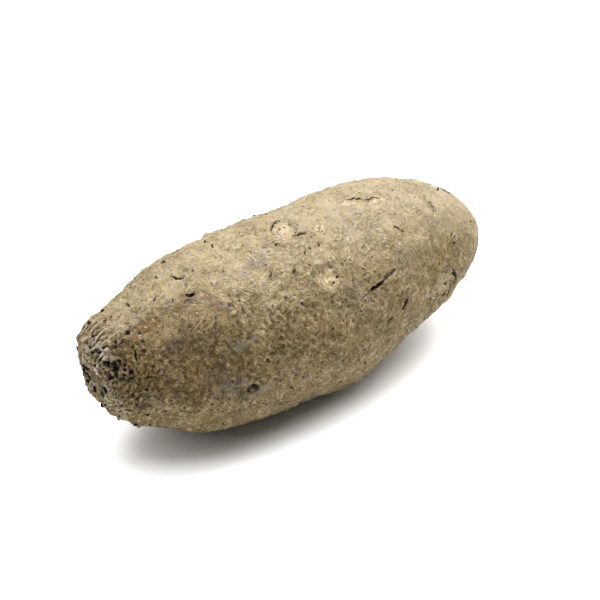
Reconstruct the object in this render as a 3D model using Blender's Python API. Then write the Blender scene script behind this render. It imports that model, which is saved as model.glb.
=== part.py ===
"""A whole yam tuber lying on its side, as one solid.

Metres, +Z up. The tuber lies along X with its corky crown, where the vine grew, at -X and its blunt growing tip
at +X. The origin is on the surface that it rests on, under the middle of its box.

A place on the skin is given by its share of the length from the crown, 0 to 1, and by its degrees round the
tuber: 0 is the top, 90 the back (+Y), -90 the front (-Y) and 180 the underside.
"""

import math
import random

import bmesh
import bpy
from mathutils import Matrix, Vector, kdtree, noise

# The whole tuber
LENGTH = 0.280
REST_FLAT_DEPTH = 0.0016  # how far its own weight has flattened the lowest skin
REST_FADE = 0.005  # relief dies away over this height above the rest
SKIN_COLOUR = (0.36, 0.29, 0.19, 1.0)
SKIN_ROUGHNESS = 0.92

# Fullness along the tuber: (share of the length, radius of the round-ended body there)
FULLNESS = (
    (0.00, 0.0670),
    (0.10, 0.0646),
    (0.25, 0.0587),
    (0.50, 0.0550),
    (0.75, 0.0579),
    (0.90, 0.0587),
    (1.00, 0.0604),
)
# The middle line bows a little: (share of the length, height)
BOW = (
    (0.0, -0.0025),
    (0.5, -0.0020),
    (1.0, 0.0022),
)

# Broad swellings and hollows: (share, degrees round or None for a whole ring, height, spread in share, in degrees)
BACK_LINE = 38
FRONT_LINE = -142
SWELLINGS = (
    (0.134, None, -0.0019, 0.034, None),  # neck behind the crown
    (0.072, FRONT_LINE, -0.0064, 0.069, 52),  # the neck cuts in deeper below
    (0.018, BACK_LINE, 0.0155, 0.038, 52),  # brow over the crown
    (0.540, BACK_LINE, -0.0016, 0.095, 52),  # saddle along the back
    (0.528, FRONT_LINE, 0.0047, 0.076, 52),  # belly that it rests on
    (0.749, FRONT_LINE, -0.0033, 0.142, 52),  # heel hollow under the tip
)

# Rolling unevenness of the whole skin
ROLL_WAVE = 0.034
ROLL_HEIGHT = 0.0011
RIPPLE_WAVE = 0.013
RIPPLE_HEIGHT = 0.0005

# Warts where rootlets grew: more and bigger ones towards the crown
WART_SEED = 11
WART_COUNT = 430
WART_RADIUS = (0.0042, 0.0066)
WART_HEIGHT = (0.0007, 0.0015)
WART_CROWN_GAIN = 1.1
WART_CROWN_REACH = 0.22

# Corky crown: a dished scar ringed by knobs, broken by deep pits
CROWN_FADE = (0.0165, 0.045)  # distances from the crown's middle at which this relief starts to fade and ends
CROWN_DISH_RADIUS = 0.015
CROWN_DISH_DEPTH = 0.0045
CROWN_RING_WAVE = 0.0105
CROWN_RING_HEIGHT = 0.0011
CROWN_KNOB_WAVE = 0.0095
CROWN_KNOB_HEIGHT = 0.0030

# Healed scars, eyes and dents: (share, degrees round, half length, half width, floor depth, rim height)
SCARS = (
    (0.440, -8, 0.0085, 0.0080, 0.0012, 0.0006),  # pale scar on top
    (0.448, -46, 0.0088, 0.0078, 0.0015, 0.0008),  # pitted scar below it
    (0.762, -91, 0.0100, 0.0130, 0.0013, 0.0006),  # long scar on the flank
    (0.235, -94, 0.0055, 0.0050, 0.0014, 0.0006),  # eye low on the front
    (0.090, -24, 0.0090, 0.0060, 0.0010, 0.0004),  # rubbed reddish spot
    (0.801, -32, 0.0050, 0.0065, 0.0016, 0.0003),  # dimple near the tip
    (0.300, 105, 0.0090, 0.0075, 0.0013, 0.0006),  # scars on the far side
    (0.640, 78, 0.0080, 0.0095, 0.0013, 0.0006),
    (0.520, 142, 0.0070, 0.0080, 0.0012, 0.0005),
    (0.850, 135, 0.0075, 0.0060, 0.0013, 0.0005),
)
SCAR_FLOOR_SHARE = 0.55  # the floor is flat out to this share of the scar's own size
SCAR_RIM_PLACE = 1.1  # the rim's ridge and its width, as shares of that size
SCAR_RIM_WIDTH = 0.45
SCAR_REACH = 3  # nothing of a scar shows beyond this many times its size

# Gash where a tool nicked the skin: a narrow cut tapering to both ends
GASH_PLACE = (0.556, -65)
GASH_HALF_LENGTH = 0.0130
GASH_HALF_WIDTH = 0.0014
GASH_DEPTH = 0.0042
GASH_TURN = 3  # degrees off the tuber's length

# Mesh: cells along the sides and across each end of the box grid that is rounded into the tuber
CELLS_ALONG = 50
CELLS_ACROSS = 21


def clear_scene():
    for old in list(bpy.data.objects):
        bpy.data.objects.remove(old)


def between(stations, share):
    """Height of the smooth curve through the stations at this share of the length."""
    places = [place for place, _ in stations]
    values = [value for _, value in stations]
    last = len(stations) - 1

    def slope(k):
        left, right = max(k - 1, 0), min(k + 1, last)
        return (values[right] - values[left]) / (places[right] - places[left])

    k = next((k for k in range(last) if share <= places[k + 1]), last - 1)
    gap = places[k + 1] - places[k]
    s = (share - places[k]) / gap
    start = (1 + 2 * s) * (1 - s) ** 2 * values[k] + s * (1 - s) ** 2 * gap * slope(k)
    end = s * s * (3 - 2 * s) * values[k + 1] - s * s * (1 - s) * gap * slope(k + 1)
    return start + end


def turn_between(a, b):
    """Smallest angle from b to a, in degrees."""
    return (a - b + 180) % 360 - 180


def swelling(share, around, roundness):
    height = 0.0
    for place, line, rise, spread, turn_spread in SWELLINGS:
        weight = math.exp(-(((share - place) / spread) ** 2)) * min(1.0, 2 * roundness)
        if line is not None:
            weight *= math.exp(-((turn_between(around, line) / turn_spread) ** 2))
        height += rise * weight
    return height


def skin_point(share, around):
    """The plain form's skin, before any relief."""
    roundness = 2 * math.sqrt(max(share * (1 - share), 0.0))
    radius = roundness * between(FULLNESS, share) + swelling(share, around, roundness)
    turn = math.radians(around)
    return Vector((
        (share - 0.5) * LENGTH,
        radius * math.sin(turn),
        between(BOW, share) + radius * math.cos(turn),
    ))


def place_of(direction):
    """Share of the length and degrees round for a direction from the middle of the round grid."""
    return (1 + direction.x) / 2, math.degrees(math.atan2(direction.y, direction.z))


def bump(distance):
    """A smooth rise from 0 at distance 1 to 1 at distance 0."""
    return (1 - distance * distance) ** 2 if distance < 1 else 0.0


def rise_between(value, low, high):
    s = min(max((value - low) / (high - low), 0.0), 1.0)
    return s * s * (3 - 2 * s)


def rounded_grid():
    """A box of even cells rounded to a unit sphere, so that no fan of thin triangles meets at the ends."""
    bm = bmesh.new()
    bmesh.ops.create_cube(bm, size=2)
    for axis, cells in enumerate((CELLS_ALONG, CELLS_ACROSS, CELLS_ACROSS)):
        lengthwise = [e for e in bm.edges if abs((e.verts[0].co - e.verts[1].co)[axis]) > 1e-6]
        bmesh.ops.subdivide_edges(bm, edges=lengthwise, cuts=cells - 1)
    for vertex in bm.verts:
        vertex.co = Vector([math.tan(c * math.pi / 4) for c in vertex.co]).normalized()
    return bm


def scattered_warts():
    """Seeded warts as (middle, radius, height), even over the skin and bigger near the crown."""
    draw = random.Random(WART_SEED)
    warts = []
    for _ in range(WART_COUNT):
        direction = Vector((draw.uniform(-1, 1), 0, 0))
        turn = draw.uniform(0, 2 * math.pi)
        girth = math.sqrt(1 - direction.x**2)
        direction.y = girth * math.sin(turn)
        direction.z = girth * math.cos(turn)
        share, around = place_of(direction)
        gain = 1 + WART_CROWN_GAIN * (1 - rise_between(share, 0, WART_CROWN_REACH))
        warts.append((skin_point(share, around), draw.uniform(*WART_RADIUS), draw.uniform(*WART_HEIGHT) * gain))
    return warts


def wart_height(point, warts, tree):
    height = 0.0
    for _, index, distance in tree.find_range(point, WART_RADIUS[1]):
        _, radius, rise = warts[index]
        height = max(height, rise * bump(distance / radius))
    return height


def scar_height(point, normal):
    """Shallow floors with raised rims."""
    height = 0.0
    for share, around, half_length, half_width, depth, rim in SCARS:
        middle = skin_point(share, around)
        offset = point - middle
        if offset.length > SCAR_REACH * max(half_length, half_width):
            continue
        across = normal.cross(Vector((1, 0, 0))).normalized()
        distance = math.hypot(offset.x / half_length, offset.dot(across) / half_width)
        height -= depth * (1 - rise_between(distance, SCAR_FLOOR_SHARE, 1.0))
        height += rim * bump(abs(distance - SCAR_RIM_PLACE) / SCAR_RIM_WIDTH)
    return height


def crown_height(point):
    """Rings, knobs and a dished middle at the crown, fading out away from it."""
    crown = skin_point(0.0, 0.0)
    distance = (point - crown).length
    reach = 1 - rise_between(distance, *CROWN_FADE)
    if reach == 0:
        return 0.0
    dish = -CROWN_DISH_DEPTH * bump(distance / CROWN_DISH_RADIUS)
    rings = CROWN_RING_HEIGHT * math.cos(2 * math.pi * distance / CROWN_RING_WAVE)
    knobs = CROWN_KNOB_HEIGHT * noise.noise(point / CROWN_KNOB_WAVE)
    return reach * (dish + rings + knobs)


def relief(point, normal, warts, tree):
    roll = ROLL_HEIGHT * noise.noise(point / ROLL_WAVE)
    ripple = RIPPLE_HEIGHT * noise.noise(point / RIPPLE_WAVE)
    return roll + ripple + wart_height(point, warts, tree) + scar_height(point, normal) + crown_height(point)


def grow_tuber(bm):
    """Moves the round grid to the skin, raises the relief, and flattens the lowest skin."""
    for vertex in bm.verts:
        vertex.co = skin_point(*place_of(vertex.co))
    bm.normal_update()
    floor = min(v.co.z for v in bm.verts)
    warts = scattered_warts()
    tree = kdtree.KDTree(len(warts))
    for index, (middle, _, _) in enumerate(warts):
        tree.insert(middle, index)
    tree.balance()
    moves = {}
    for vertex in bm.verts:
        fade = rise_between(vertex.co.z, floor + REST_FLAT_DEPTH, floor + REST_FLAT_DEPTH + REST_FADE)
        moves[vertex] = vertex.normal * (fade * relief(vertex.co, vertex.normal, warts, tree))
    for vertex, move in moves.items():
        vertex.co += move
        vertex.co.z = max(vertex.co.z, floor + REST_FLAT_DEPTH)


def rest_place(bm):
    """The point that becomes the origin: the middle of the box, on the resting surface."""
    lows = [min(v.co[axis] for v in bm.verts) for axis in range(3)]
    highs = [max(v.co[axis] for v in bm.verts) for axis in range(3)]
    return Vector(((lows[0] + highs[0]) / 2, (lows[1] + highs[1]) / 2, lows[2]))


def skin_material():
    material = bpy.data.materials.new("yam_skin")
    material.use_nodes = True
    shader = material.node_tree.nodes["Principled BSDF"]
    shader.inputs["Base Color"].default_value = SKIN_COLOUR
    shader.inputs["Roughness"].default_value = SKIN_ROUGHNESS
    shader.inputs["Metallic"].default_value = 0.0
    return material


def tuber_object(bm):
    mesh = bpy.data.meshes.new("tuber")
    bm.to_mesh(mesh)
    bm.free()
    mesh.shade_smooth()
    mesh.materials.append(skin_material())
    tuber = bpy.data.objects.new("tuber", mesh)
    bpy.context.scene.collection.objects.link(tuber)
    return tuber


def gash_cutter(origin):
    """A slim pointed blade, set in the skin at the gash with its edge inwards."""
    middle = skin_point(*GASH_PLACE)
    around = math.radians(GASH_PLACE[1])
    outward = Vector((0, math.sin(around), math.cos(around)))
    bm = bmesh.new()
    bmesh.ops.create_uvsphere(bm, u_segments=4, v_segments=2, radius=1)
    size = Vector((GASH_HALF_LENGTH, GASH_HALF_WIDTH, GASH_DEPTH))
    bmesh.ops.scale(bm, vec=size, verts=bm.verts)
    bmesh.ops.rotate(bm, verts=bm.verts, matrix=Matrix.Rotation(math.radians(GASH_TURN), 3, "Z"))
    upright = outward.to_track_quat("Z", "X").to_matrix()
    lengthwise = upright @ Vector((1, 0, 0))
    twist = Matrix.Rotation(lengthwise.angle(Vector((1, 0, 0))) * (1 if lengthwise.y < 0 else -1), 3, outward)
    bmesh.ops.rotate(bm, verts=bm.verts, matrix=twist @ upright)
    bmesh.ops.translate(bm, verts=bm.verts, vec=middle - origin)
    mesh = bpy.data.meshes.new("gash_cutter")
    bm.to_mesh(mesh)
    bm.free()
    cutter = bpy.data.objects.new("gash_cutter", mesh)
    bpy.context.scene.collection.objects.link(cutter)
    cutter.hide_render = True
    cutter.display_type = "WIRE"
    return cutter


def main():
    clear_scene()
    bm = rounded_grid()
    grow_tuber(bm)
    origin = rest_place(bm)
    bmesh.ops.translate(bm, verts=bm.verts, vec=-origin)
    tuber = tuber_object(bm)
    cut = tuber.modifiers.new("gash", "BOOLEAN")
    cut.operation = "DIFFERENCE"
    cut.solver = "EXACT"
    cut.object = gash_cutter(origin)


main()
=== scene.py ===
"""A whole yam tuber lying on a plain pale floor: its looks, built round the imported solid.

Metres, +Z up, in the solid's own frame: the crown is at -X, the growing tip at +X and the resting surface at
z = 0. A place on the skin is given by its share of the length from the crown, 0 to 1, and by its degrees
round the tuber: 0 is the top, 90 the back (+Y), -90 the front (-Y) and 180 the underside.
"""

import math
import random

import bmesh
import bpy
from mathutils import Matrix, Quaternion, Vector, bvhtree, kdtree, noise


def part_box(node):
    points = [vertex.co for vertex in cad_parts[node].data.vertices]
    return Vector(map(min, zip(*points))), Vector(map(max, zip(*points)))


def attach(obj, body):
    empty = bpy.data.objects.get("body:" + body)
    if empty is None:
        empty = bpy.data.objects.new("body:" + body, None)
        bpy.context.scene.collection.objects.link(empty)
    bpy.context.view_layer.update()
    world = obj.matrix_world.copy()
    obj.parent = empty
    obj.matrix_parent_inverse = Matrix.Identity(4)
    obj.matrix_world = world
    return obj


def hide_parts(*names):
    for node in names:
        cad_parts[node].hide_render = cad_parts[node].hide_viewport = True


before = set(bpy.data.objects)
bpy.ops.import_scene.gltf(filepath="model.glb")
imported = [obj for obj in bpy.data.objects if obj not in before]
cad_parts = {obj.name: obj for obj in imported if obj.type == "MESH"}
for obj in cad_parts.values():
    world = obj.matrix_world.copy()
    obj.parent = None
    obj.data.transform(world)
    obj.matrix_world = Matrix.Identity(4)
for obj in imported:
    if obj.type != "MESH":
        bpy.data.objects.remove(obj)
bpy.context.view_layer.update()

# Tuber skin: one swollen root whose thin, corky skin grew with it, dry and dusty after digging. Here it is a
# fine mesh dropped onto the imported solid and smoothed, then given the skin's warts, pits, folds and wounds.

solid_low, solid_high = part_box("tuber")
LENGTH = solid_high.x - solid_low.x
MIDDLE_HEIGHT = (solid_low.z + solid_high.z) / 2
CORE_SHARE = 0.6  # half length of the line that the skin is cast from, as a share of the tuber's own
SKIN_CELLS_ALONG = 146
SKIN_CELLS_ACROSS = 68
CROWN_CAP_TURN = -53  # degrees off the middle plane where each end's own grid of cells starts
TIP_CAP_TURN = 45
SMOOTHING_PASSES = 24
CAST_REACH = 1.0  # how far out the rays start that look for the skin


def smooth_rise(value, low, high):
    """0 below low, 1 above high, and a smooth step between them."""
    s = min(max((value - low) / (high - low), 0.0), 1.0)
    return s * s * (3 - 2 * s)


def mound(distance):
    """A smooth rise from 0 at distance 1 to 1 at distance 0."""
    return (1 - distance * distance) ** 2 if distance < 1 else 0.0


def rounded_box_grid():
    """A box of even cells rounded to a unit sphere, with smaller cells at the crown's end."""
    bm = bmesh.new()
    bmesh.ops.create_cube(bm, size=2)
    for axis, cells in enumerate((SKIN_CELLS_ALONG, SKIN_CELLS_ACROSS, SKIN_CELLS_ACROSS)):
        lengthwise = [e for e in bm.edges if abs(e.verts[0].co[axis] - e.verts[1].co[axis]) > 1]
        bmesh.ops.subdivide_edges(bm, edges=lengthwise, cuts=cells - 1)
    for vertex in bm.verts:
        turn = CROWN_CAP_TURN + (TIP_CAP_TURN - CROWN_CAP_TURN) * (1 + vertex.co.x) / 2
        across = (math.tan(vertex.co.y * math.pi / 4), math.tan(vertex.co.z * math.pi / 4))
        vertex.co = Vector((math.tan(math.radians(turn)), *across)).normalized()
    return bm


def cast_onto(surface, direction):
    """Where the ray in this direction from the tuber's middle line leaves its skin."""
    start = Vector((direction.x * CORE_SHARE * LENGTH / 2, 0, MIDDLE_HEIGHT))
    return surface.ray_cast(start + direction * CAST_REACH, -direction)[0]


solid_skin = bvhtree.BVHTree.FromObject(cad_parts["tuber"], bpy.context.evaluated_depsgraph_get())
skin = rounded_box_grid()
for vertex in skin.verts:
    vertex.co = cast_onto(solid_skin, vertex.co)
for _ in range(SMOOTHING_PASSES):
    bmesh.ops.smooth_vert(
        skin, verts=skin.verts, factor=0.5, use_axis_x=True, use_axis_y=True, use_axis_z=True
    )
plain_skin = bvhtree.BVHTree.FromBMesh(skin)


def skin_at(share, around):
    """The plain skin's point at this share of the length and this many degrees round."""
    turn = math.radians(around)
    outward = Vector((0, math.sin(turn), math.cos(turn)))
    middle = Vector(((share - 0.5) * LENGTH, 0, MIDDLE_HEIGHT))
    radius = 2 * math.sqrt(share * (1 - share)) * MIDDLE_HEIGHT
    return plain_skin.ray_cast(middle, outward)[0] or plain_skin.find_nearest(middle + outward * radius)[0]


def crown_at(across, height):
    """The point of the crown's end face at this place across and this height above the floor."""
    return plain_skin.ray_cast(Vector((-LENGTH, across, height)), Vector((1, 0, 0)))[0]


def place_of(point):
    """Share of the length and degrees round for a point of the skin."""
    return point.x / LENGTH + 0.5, math.degrees(math.atan2(point.y, point.z - MIDDLE_HEIGHT))


CROWN_POLE = plain_skin.ray_cast(Vector((0, 0, MIDDLE_HEIGHT)), Vector((-1, 0, 0)))[0]

# Wounds: share, degrees round, half length, half width, degrees off the length, floor depth, rim height
SCARS = {
    "pale_top": (0.432, -8, 0.0076, 0.0102, -38, 0.0005, 0.0005),
    "pitted": (0.444, -47.5, 0.0091, 0.0071, -21, 0.0003, 0.0004),
    "flank": (0.762, -90, 0.0135, 0.0120, -20, 0.0007, 0.0007),
    "eye": (0.231, -96, 0.0042, 0.0033, 0, 0.0019, 0.0007),
    "rubbed": (0.082, -21, 0.0095, 0.0042, -8, 0.0003, 0.0002),
    "tip_dimple": (0.802, -30, 0.0022, 0.0044, 0, 0.0016, 0.0003),
    "far_shoulder": (0.300, 105, 0.0085, 0.0068, 20, 0.0010, 0.0006),
    "far_flank": (0.640, 78, 0.0075, 0.0088, -10, 0.0010, 0.0006),
    "far_low": (0.520, 142, 0.0068, 0.0075, 0, 0.0009, 0.0005),
    "far_tip": (0.850, 135, 0.0070, 0.0056, 15, 0.0010, 0.0005),
}
# How far each wound's floor keeps the paleness of bare flesh
WOUND_PALENESS = {"pale_top": 0.40, "pitted": 0.5, "flank": 0.8, "far_shoulder": 0.8, "far_flank": 0.8}
# Splits in the skin: half width, depth, then the places that each runs through
CRACKS = {
    "zigzag": (0.00034, 0.0011, (
        (0.606, -3.1), (0.616, -4.1), (0.621, -6.1), (0.633, -4.9), (0.634, -7.0),
        (0.643, -7.4), (0.648, -10.1), (0.658, -11), (0.671, -9.7), (0.686, -12.9),
    )),
    "scar_tail": (0.0007, 0.0014, (
        (0.439, -14.4), (0.442, -16.8), (0.450, -16.7), (0.458, -16.6), (0.466, -17.5),
    )),
    "scar_brow": (0.0004, 0.0006, ((0.411, -4.6), (0.418, -2.9), (0.429, 0.1), (0.444, 2.0), (0.451, 0.4))),
    "gash": (0.0010, 0.0042, ((0.530, -65.3), (0.545, -64.9), (0.563, -64.3), (0.573, -62.7))),
    "gash_low_end": (0.0005, 0.0004, ((0.501, -67.6), (0.516, -66.7), (0.532, -65.3))),
    "gash_high_end": (0.0013, 0.0007, ((0.569, -62.9), (0.589, -61.1), (0.609, -59.9))),
    "heel_slit": (0.0010, 0.0020, ((0.628, -79.5), (0.613, -83.0), (0.604, -85.5))),
    "tip_slit": (0.0005, 0.0006, ((0.659, -35.6), (0.666, -38.7), (0.674, -41.8))),
    "crown_slit": (0.0006, 0.0018, ((0.054, -33), (0.049, -38), (0.047, -44))),
    "flank_edge": (0.0007, 0.0014, ((0.789, -78.7), (0.804, -86.1), (0.814, -94.5), (0.806, -99))),
    "flank_low_edge": (0.0007, 0.0014, ((0.797, -95), (0.787, -97), (0.778, -99.5), (0.764, -101))),
    "crater_slit": (0.0010, 0.0022, ((0.174, -19.0), (0.182, -20.8), (0.190, -21.3))),
    "neck_slit": (0.0007, 0.0012, ((0.186, 0.5), (0.187, -4.0), (0.194, -5.8), (0.202, -4.5))),
    "curl": (0.0006, 0.0010, ((0.817, -53), (0.802, -56), (0.803, -60.5), (0.815, -62))),
    "tip_notch": (0.0009, 0.0014, ((0.896, -6), (0.900, -10), (0.903, -14), (0.905, -18))),
    "low_slit": (0.0006, 0.0011, ((0.580, -87.5), (0.565, -88.4), (0.552, -90.1))),
    "far_slit": (0.0006, 0.0014, ((0.420, 84), (0.440, 81), (0.455, 82), (0.470, 79))),
    "far_gash": (0.0007, 0.0022, ((0.700, 120), (0.715, 117), (0.735, 116))),
}
# Single pits that stand out: share, degrees round, radius, depth
CRATERS = (
    (0.194, -43, 0.0011, 0.0015),
    (0.229, -39, 0.0016, 0.0008),
    (0.168, -23, 0.0015, 0.0007),
    (0.194, -27.7, 0.0014, 0.0008),
    (0.142, -16, 0.0016, 0.0007),
    (0.166, -4, 0.0017, 0.0007),
    (0.219, -5, 0.0016, 0.0010),
    (0.196, 7, 0.0014, 0.0010),
    (0.249, 14, 0.0015, 0.0008),
    (0.058, -15, 0.0020, 0.0014),
    (0.073, -22, 0.0013, 0.0012),
    (0.035, -52, 0.0020, 0.0022),
    (0.060, -65, 0.0013, 0.0016),
    (0.048, -78, 0.0012, 0.0014),
    (0.080, -54, 0.0018, 0.0009),
    (0.096, -57, 0.0020, 0.0008),
    (0.106, -102, 0.0011, 0.0013),
    (0.043, -54, 0.0011, 0.0016),
    (0.054, -64.5, 0.0011, 0.0015),
    (0.236, -96, 0.0013, 0.0016),
    (0.265, -80, 0.0016, 0.0015),
    (0.365, -56, 0.0015, 0.0014),
    (0.360, -54, 0.0009, 0.0010),
    (0.384, -39, 0.0014, 0.0010),
    (0.429, -29, 0.0012, 0.0013),
    (0.467, -50, 0.0014, 0.0016),
    (0.455, -52, 0.0009, 0.0012),
    (0.470, -28, 0.0011, 0.0010),
    (0.532, -52, 0.0013, 0.0011),
    (0.568, -44, 0.0011, 0.0011),
    (0.498, -92, 0.0012, 0.0011),
    (0.412, -84, 0.0012, 0.0011),
)
# Bumps with a raised ring: share, degrees round, radius, height
RING_BUMPS = (
    (0.498, -18.3, 0.0036, 0.0009),
    (0.518, -28.4, 0.0028, 0.0009),
    (0.555, -40.8, 0.0040, 0.0008),
    (0.539, -33, 0.0026, 0.0005),
    (0.511, -44, 0.0026, 0.0007),
    (0.517, -38, 0.0024, 0.0007),
    (0.599, -50, 0.0026, 0.0005),
    (0.473, -39, 0.0024, 0.0005),
    (0.305, -51, 0.0024, 0.0005),
    (0.184, -18, 0.0024, 0.0010),
    (0.106, -102, 0.0026, 0.0006),
    (0.229, -39, 0.0028, 0.0007),
    (0.244, -50.8, 0.0024, 0.0005),
    (0.818, -57.5, 0.0028, 0.0007),
    (0.360, 60, 0.0032, 0.0006),
    (0.700, 95, 0.0028, 0.0006),
)
RING_RIDGE = (0.64, 0.28)  # where the ridge stands and how wide it is, as shares of the bump's radius

# Broad swells and hollows of the tuber: share, degrees round, radius, height
SWELLS = (
    (0.920, -65, 0.042, 0.0020),
    (0.760, 10, 0.042, 0.0008),
    (0.515, -121, 0.036, -0.0012),
    (0.350, 34, 0.014, -0.0015),
    (0.110, 30, 0.030, -0.0009),
)

# Scattered growth on the skin
WART_SEED = 11
WART_COUNT = 430
WART_RADIUS = (0.0042, 0.0066)
WART_HEIGHT = (0.0007, 0.0015)
WART_SHARE_LEFT = 0.55  # of each wart's height, because smoothing leaves the rest of it standing
PIMPLE_SEED = 23
PIMPLE_COUNT = 3200
PIMPLE_RADIUS = (0.0014, 0.0028)
PIMPLE_HEIGHT = (0.00030, 0.00085)
DIMPLED_PIMPLES = 11  # one pimple in this many has a dimple at its top
PIT_SEED = 37
PIT_COUNT = 420
PIT_RADIUS = (0.0009, 0.0016)
PIT_DEPTH = (0.0002, 0.0010)
# Painted shade: a pit darkens with its depth, black at this depth
PIT_BLACK_DEPTH = 0.0016
PIT_RIM_HEIGHT = 0.16  # of the pit's depth
PIT_RIM = (1.25, 0.65)  # where the rim stands and how wide it is, as shares of the pit's radius
PIT_REACH = 0.0042  # how far away pits and ringed bumps are looked for
DIMPLE = (0.8, 2.2)  # how deep a pimple's dimple is and how much narrower than the pimple
PIMPLE_PALENESS = 0.8
RING_PALENESS = 1.8
EDGE_WAVER_WAVE = 0.0019  # the outlines of pits and pimples waver over this distance, by this share
EDGE_WAVER = 0.5
SKIN_SINK = 0.00035  # the relief's own mean height, taken off so that the skin stays on the solid
CROWN_GATHERING = 2.6  # how many times more pits grow at the crown than at the tip
REST_FADE = (0.0008, 0.004)  # relief dies away between these heights above the floor
REST_FLAT = 0.0003  # the weight presses this much more of the belly flat
REST_PRESSED = 0.010  # height up to which the belly is pressed


def scattered(draw, count, gathering, sizes, heights):
    """Seeded (point, size, height) over the skin, gathered towards the crown."""
    found = []
    while len(found) < count:
        x = draw.uniform(-1, 1)
        turn = draw.uniform(0, 2 * math.pi)
        girth = math.sqrt(1 - x * x)
        direction = Vector((x, girth * math.sin(turn), girth * math.cos(turn)))
        kept = draw.random() * (1 + gathering) < 1 + gathering * (1 - x) / 2
        size, height = draw.uniform(*sizes), draw.uniform(*heights)
        if kept:
            found.append((cast_onto(plain_skin, direction), size, height))
    return found


def grown_warts():
    """The solid's own warts, from the same seeded draws."""
    draw = random.Random(WART_SEED)
    warts = []
    for _ in range(WART_COUNT):
        share = (1 + draw.uniform(-1, 1)) / 2
        around = math.degrees(draw.uniform(0, 2 * math.pi))
        size, height = draw.uniform(*WART_RADIUS), draw.uniform(*WART_HEIGHT)
        warts.append((skin_at(share, around), size, height * WART_SHARE_LEFT))
    return warts


def finder(features):
    """A tree that finds the features near a point."""
    tree = kdtree.KDTree(len(features))
    for index, feature in enumerate(features):
        tree.insert(feature[0], index)
    tree.balance()
    return tree


warts = grown_warts()
wart_tree = finder(warts)
pimples = scattered(random.Random(PIMPLE_SEED), PIMPLE_COUNT, 0.4, PIMPLE_RADIUS, PIMPLE_HEIGHT)
pimple_tree = finder(pimples)
pits = scattered(random.Random(PIT_SEED), PIT_COUNT, CROWN_GATHERING, PIT_RADIUS, PIT_DEPTH)
pits += [(skin_at(share, around), size, depth) for share, around, size, depth in CRATERS]
pit_tree = finder(pits)
rings = [(skin_at(share, around), size, height) for share, around, size, height in RING_BUMPS]
ring_tree = finder(rings)
swells = [(skin_at(share, around), size, rise) for share, around, size, rise in SWELLS]
scar_middles = {name: skin_at(share, around) for name, (share, around, *_) in SCARS.items()}
crack_lines = {name: [skin_at(*place) for place in route] for name, (_, _, route) in CRACKS.items()}


def nearest_on(line, point):
    """Distance from the point to the line through these points, and how far along it that is, 0 to 1."""
    best, along = 1.0, 0.0
    for k, (start, end) in enumerate(zip(line, line[1:])):
        run = end - start
        s = min(max((point - start).dot(run) / run.length_squared, 0.0), 1.0)
        distance = (point - start - run * s).length
        if distance < best:
            best, along = distance, (k + s) / (len(line) - 1)
    return best, along


# The mesh is made twice as fine, and then twice again, this near the crown's middle and the cracks
REFINE_CROWN = (0.036, 0.025)
REFINE_CRACK = (0.0036, 0.0022)
REFINE_SCAR = 1.35  # of the scar's longer half
CRACK_REACH = 0.035  # no crack's end is further from its start


def refine_where(bm, wanted):
    """Splits each face whose middle is wanted into four."""
    chosen = [f for f in bm.faces if wanted(f.calc_center_median())]
    edges = {e for f in chosen for e in f.edges}
    bmesh.ops.subdivide_edges(bm, edges=list(edges), cuts=1, use_grid_fill=True)


def near_a_crack(point, reach):
    near_lines = (line for line in crack_lines.values() if (point - line[0]).length < CRACK_REACH)
    return any(nearest_on(line, point)[0] < reach for line in near_lines)


def near_a_scar(point):
    return any(
        (point - scar_middles[name]).length < REFINE_SCAR * max(half_length, half_width)
        for name, (_, _, half_length, half_width, *_) in SCARS.items()
    )


refine_where(
    skin,
    lambda p: (p - CROWN_POLE).length < REFINE_CROWN[0] or near_a_scar(p) or near_a_crack(p, REFINE_CRACK[0]),
)
refine_where(
    skin,
    lambda p: ((p - CROWN_POLE).length < REFINE_CROWN[1] and p.x < 0) or near_a_crack(p, REFINE_CRACK[1]),
)

# Corky crown: where the vine grew, folded rings round a dished middle, split by deep pockets painted black as
# shade
CROWN_FADE = (0.013, 0.042)
CROWN_EDGE_WAVER = 0.011
CROWN_EDGE_WAVE = 0.0095
CROWN_RING_WAVE = 0.0031
CROWN_RING_HEIGHT = 0.0013
CROWN_RINGED_SIDE = (-0.014, 0.001)
CROWN_RINGED_FROM = (0.004, 0.009)
CROWN_WARP = 0.0024
CROWN_WARP_WAVE = 0.008
CROWN_DASH_WAVE = 0.0027
CROWN_KNOB_WAVE = 0.0034
CROWN_KNOB_HEIGHT = 0.0016
CROWN_BEAD_WAVE = 0.0019
CROWN_BEAD_HEIGHT = 0.0005
CROWN_TEAR_WAVE = 0.0062
CROWN_TORN = (-0.10, 0.20)  # noise levels between which the cork turns from whole to torn
CROWN_DASHED = (-0.10, 0.16)  # and between which a gap runs on
CROWN_RING_GAP = (0.10, 0.46)  # how far up a ring its gap reaches
CROWN_KNOB_GAP = (0.04, 0.24)
CROWN_CREST = (0.50, 0.95)  # how far up a ring its pale crest starts
CROWN_GAP_DEPTH = 0.0010
CROWN_POCKET_DEPTH = 0.0034
CROWN_POCKET_REACH = 0.0060
CROWN_POCKET_WAVER = (0.7, 0.0021)  # the pockets' outlines waver by this share, over this distance
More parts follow.
